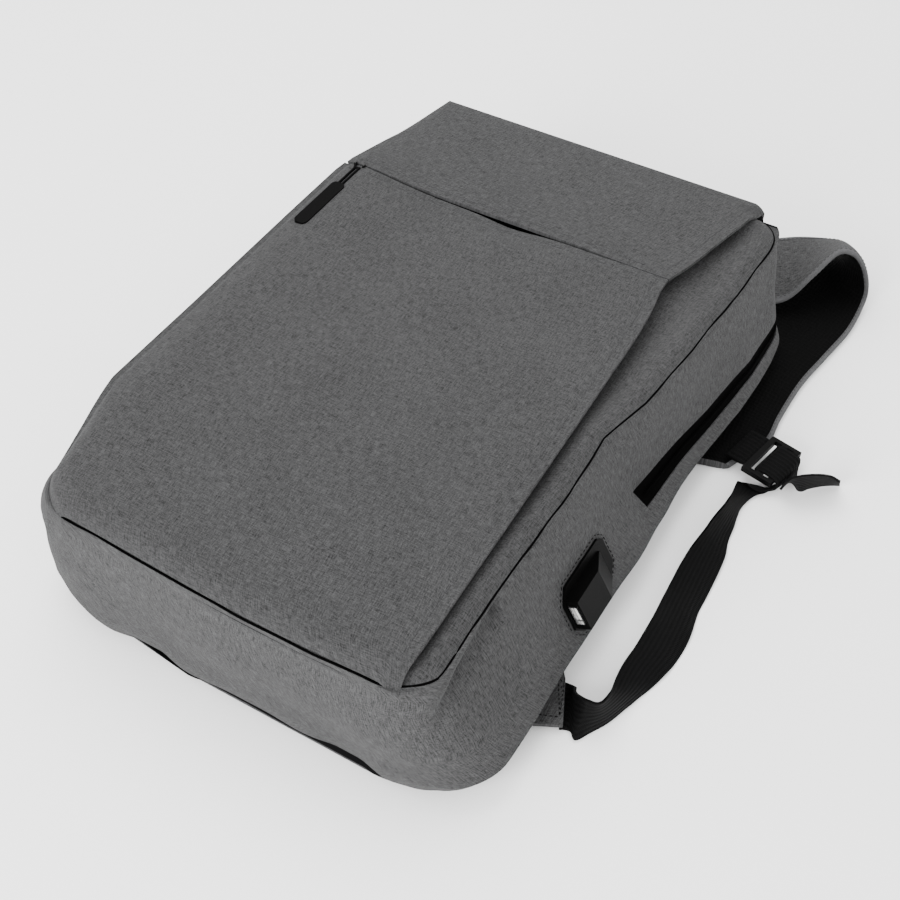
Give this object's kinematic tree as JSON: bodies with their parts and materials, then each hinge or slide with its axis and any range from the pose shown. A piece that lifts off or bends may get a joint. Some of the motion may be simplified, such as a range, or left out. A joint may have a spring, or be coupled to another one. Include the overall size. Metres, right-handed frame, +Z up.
{
  "type": "laptop backpack with usb port",
  "caption": "Heather grey anti-theft laptop backpack lying on its back, with a slit front pocket, a side USB port, padded straps and a grab handle.",
  "frame": {"origin": "centre of the back rest face, on the surface that the bag lies on", "axes": "+Z up through the front cover, +Y towards the top of the bag, +X towards the side with the USB port"},
  "size_m": [0.4366, 0.5577, 0.1123],
  "materials": {
    "front_fabric": "two-tone heather grey woven polyester",
    "side_fabric": "two-tone heather grey woven polyester",
    "lining_fabric": "plain woven lining",
    "mesh": "black air mesh",
    "webbing": "ribbed black webbing",
    "zip_tape": "black zip tape, matt",
    "zip_coil": "black nylon coil",
    "slider_metal": "black enamel, satin",
    "pull_rubber": "soft black rubber",
    "pull_cord": "black braided cord",
    "port_plastic": "black moulded plastic, fine texture",
    "socket_metal": "plated steel",
    "tongue_plastic": "moulded insulator",
    "contact_brass": "gold plated contacts"
  },
  "bodies": {
    "bag": {"back_panel": "side_fabric", "back_pad_left": "mesh", "back_pad_right": "mesh", "back_pad_center": "mesh", "side_panel_left": "side_fabric", "side_panel_right": "side_fabric", "bottom_panel": "side_fabric", "back_gusset": "side_fabric", "main_zip_tape_back": "zip_tape", "main_zip_coil": "zip_coil", "front_wall_lower": "lining_fabric", "piping_lower": "zip_tape", "front_cover_lower": "front_fabric", "pocket_gusset_lower": "lining_fabric", "laptop_sleeve": "lining_fabric", "power_bank_pocket": "lining_fabric", "usb_housing": "port_plastic", "usb_backing": "port_plastic", "usb_gland": "port_plastic", "usb_socket_shell": "socket_metal", "usb_tongue": "tongue_plastic", "usb_contacts": "contact_brass", "strap_root_right": "webbing", "strap_root_left": "webbing", "corner_tab_right": "side_fabric", "corner_tab_left": "side_fabric"},
    "front_upper": {"front_gusset_left": "side_fabric", "front_gusset_right": "side_fabric", "front_gusset_top": "side_fabric", "front_wall_upper": "lining_fabric", "front_cover_upper": "front_fabric", "front_yoke": "front_fabric", "pocket_gusset_upper": "lining_fabric", "piping_upper": "zip_tape", "main_zip_tape_front": "zip_tape", "pocket_zip_tapes": "zip_tape", "pocket_zip_coils": "zip_coil"},
    "pocket_slider": {"pocket_slider": "slider_metal"},
    "pocket_pull": {"pocket_pull_cord": "pull_cord", "pocket_pull_grip": "pull_rubber"},
    "main_slider_a": {"main_slider_a": "slider_metal"},
    "main_slider_b": {"main_slider_b": "slider_metal"},
    "main_pull_a": {"main_pull_a": "slider_metal"},
    "main_pull_b": {"main_pull_b": "slider_metal"},
    "grab_handle": {"grab_handle": "webbing"},
    "sleeve_strap": {"sleeve_strap": "webbing"},
    "strap_right": {"strap_pad_right": "side_fabric", "strap_lining_right": "mesh", "lock_loop_right": "webbing", "strap_webbing_right": "webbing"},
    "strap_left": {"strap_pad_left": "side_fabric", "strap_lining_left": "mesh", "lock_loop_left": "webbing", "strap_webbing_left": "webbing"},
    "ladder_lock_right": {"ladder_lock_right": "port_plastic", "strap_tail_right": "webbing"},
    "ladder_lock_left": {"ladder_lock_left": "port_plastic", "strap_tail_left": "webbing"}
  },
  "joints": [
    {"name": "main_opening", "type": "hinge", "parent": "bag", "child": "front_upper", "pos_m": [0, 0.0042, 0.107], "axis": [1, 0, 0], "range_deg": [0, 30]},
    {"name": "pocket_zip", "type": "slide", "parent": "front_upper", "child": "pocket_slider", "axis": [1, 0, 0], "range_m": [0, 0.212]},
    {"name": "pocket_pull_turn", "type": "hinge", "parent": "pocket_slider", "child": "pocket_pull", "pos_m": [-0.134, 0.1135, 0.1103], "axis": [-1, 0, 0], "range_deg": [0, 160]},
    {"name": "main_zip_a", "type": "slide", "parent": "front_upper", "child": "main_slider_a", "axis": [-1, 0, 0], "range_m": [0, 0.08]},
    {"name": "main_zip_b", "type": "slide", "parent": "front_upper", "child": "main_slider_b", "axis": [1, 0, 0], "range_m": [0, 0.08]},
    {"name": "main_pull_a_turn", "type": "hinge", "parent": "main_slider_a", "child": "main_pull_a", "pos_m": [-0.024, 0.22058, 0.03986], "axis": [0, 0.4299, -0.9029], "range_deg": [0, 170]},
    {"name": "main_pull_b_turn", "type": "hinge", "parent": "main_slider_b", "child": "main_pull_b", "pos_m": [0.024, 0.22058, 0.03986], "axis": [0, -0.4299, 0.9029], "range_deg": [0, 170]},
    {"name": "grab_handle_turn", "type": "hinge", "parent": "bag", "child": "grab_handle", "pos_m": [0, 0.2255, 0.00775], "axis": [1, 0, 0], "range_deg": [-60, 70]},
    {"name": "sleeve_strap_turn", "type": "hinge", "parent": "bag", "child": "sleeve_strap", "pos_m": [0, 0.1229, 0.013], "axis": [-1, 0, 0], "range_deg": [0, 80]},
    {"name": "strap_right_swing", "type": "hinge", "parent": "bag", "child": "strap_right", "pos_m": [0.158, -0.132, 0.003], "axis": [-0.2034, 0.9787, 0.0261], "range_deg": [0, 100]},
    {"name": "strap_left_swing", "type": "hinge", "parent": "bag", "child": "strap_left", "pos_m": [-0.158, -0.132, 0.003], "axis": [-0.2034, -0.9787, -0.0261], "range_deg": [0, 95]},
    {"name": "lock_right_turn", "type": "hinge", "parent": "strap_right", "child": "ladder_lock_right", "pos_m": [0.1842, 0.0989, 0.0102], "axis": [-0.2079, -0.9781, 0], "range_deg": [0, 35]},
    {"name": "lock_left_turn", "type": "hinge", "parent": "strap_left", "child": "ladder_lock_left", "pos_m": [-0.17887, 0.0972, 0.0102], "axis": [0.9781, -0.2079, 0], "range_deg": [0, 35]}
  ]
}
